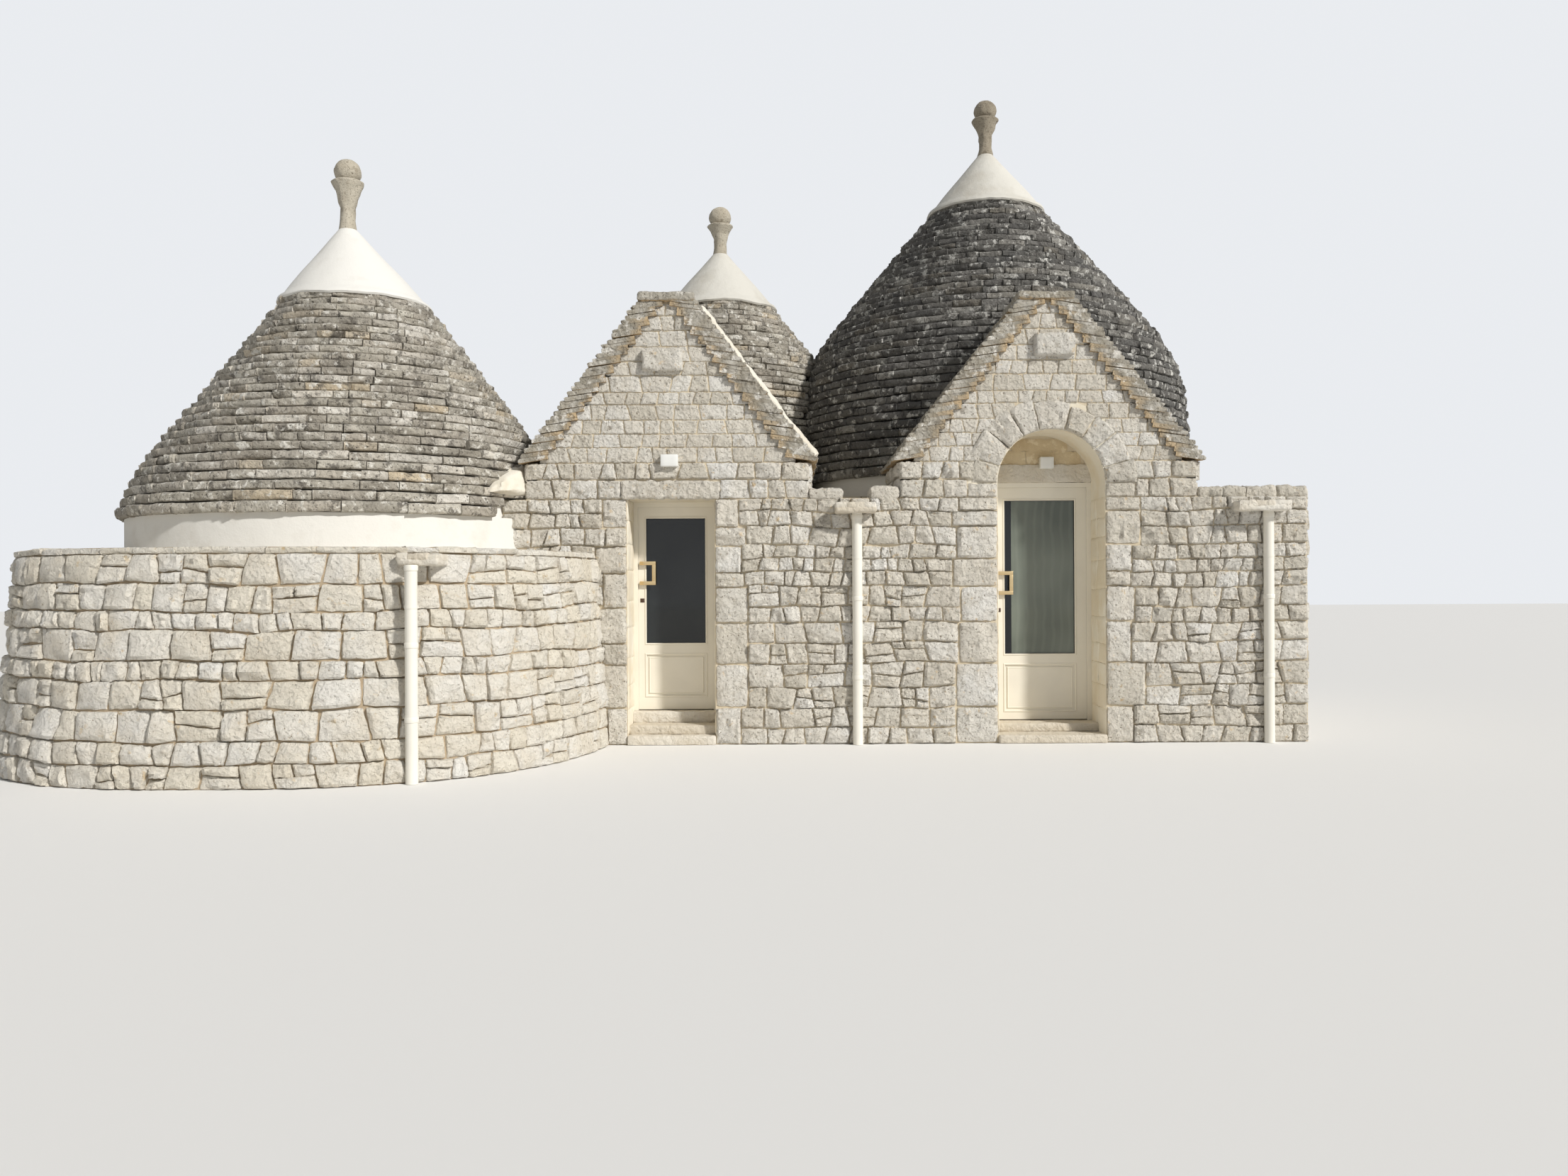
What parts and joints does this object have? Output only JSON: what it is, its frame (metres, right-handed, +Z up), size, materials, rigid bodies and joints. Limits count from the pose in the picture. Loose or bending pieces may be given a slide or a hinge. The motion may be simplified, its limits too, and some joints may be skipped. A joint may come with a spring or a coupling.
{
  "type": "trullo house",
  "caption": "Dry-stone trullo house: corbelled slab cones with white lime caps and ball finials over rubble walls, two gabled doorways with glazed doors.",
  "frame": {"origin": "on the ground under the floor of the middle room, 1.8 m behind the face of the front wall", "axes": "+X to the right along the front wall, seen from outside; +Y into the house; +Z up"},
  "size_m": [12.515, 8.32, 7.7],
  "materials": {
    "limestone": "matte",
    "roof_stone": "matte",
    "lime": "matte",
    "painted_wood": "satin",
    "door_glass": "gloss",
    "steel_handle": "satin",
    "lamp_white": "satin",
    "pipe_cream": "satin"
  },
  "bodies": {
    "house": {"left_wall_front": "limestone", "left_wall_corner": "limestone", "left_wall_side": "limestone", "left_wall_back": "limestone", "left_wall_flank": "limestone", "left_dome": "lime", "left_roof_slabs": "roof_stone", "left_cap": "lime", "left_finial": "limestone", "middle_wall_left": "limestone", "middle_wall_right": "limestone", "middle_wall_back": "limestone", "middle_dome": "lime", "middle_roof_slabs": "roof_stone", "middle_cap": "lime", "middle_finial": "limestone", "right_wall_side": "limestone", "right_wall_back": "limestone", "right_dome": "lime", "right_roof_slabs": "roof_stone", "right_cap": "lime", "right_finial": "limestone", "front_wall_left": "limestone", "front_wall_middle": "limestone", "front_wall_right": "limestone", "parapet": "limestone", "terrace": "limestone", "floors": "limestone", "left_gable_wall": "limestone", "left_gable_roof": "roof_stone", "left_door_lintel": "limestone", "right_gable_wall": "limestone", "right_gable_roof": "roof_stone", "right_arch": "limestone", "right_door_lintel": "limestone", "gable_stones": "limestone", "doorsteps": "limestone", "door_frames": "painted_wood", "lamps": "lamp_white", "spouts": "limestone", "downpipes": "pipe_cream"},
    "left_door": {"left_door_leaf": "painted_wood", "left_door_glass": "door_glass", "left_door_handle": "steel_handle"},
    "right_door": {"right_door_leaf": "painted_wood", "right_door_glass": "door_glass", "right_door_handle": "steel_handle"}
  },
  "joints": [
    {"name": "left_door_hinge", "type": "hinge", "parent": "house", "child": "left_door", "pos_m": [0.027, -1.234, 1.35], "axis": [0, 0, -1], "range_deg": [0, 90]},
    {"name": "right_door_hinge", "type": "hinge", "parent": "house", "child": "right_door", "pos_m": [3.907, -1.174, 1.35], "axis": [0, 0, -1], "range_deg": [0, 90]}
  ]
}
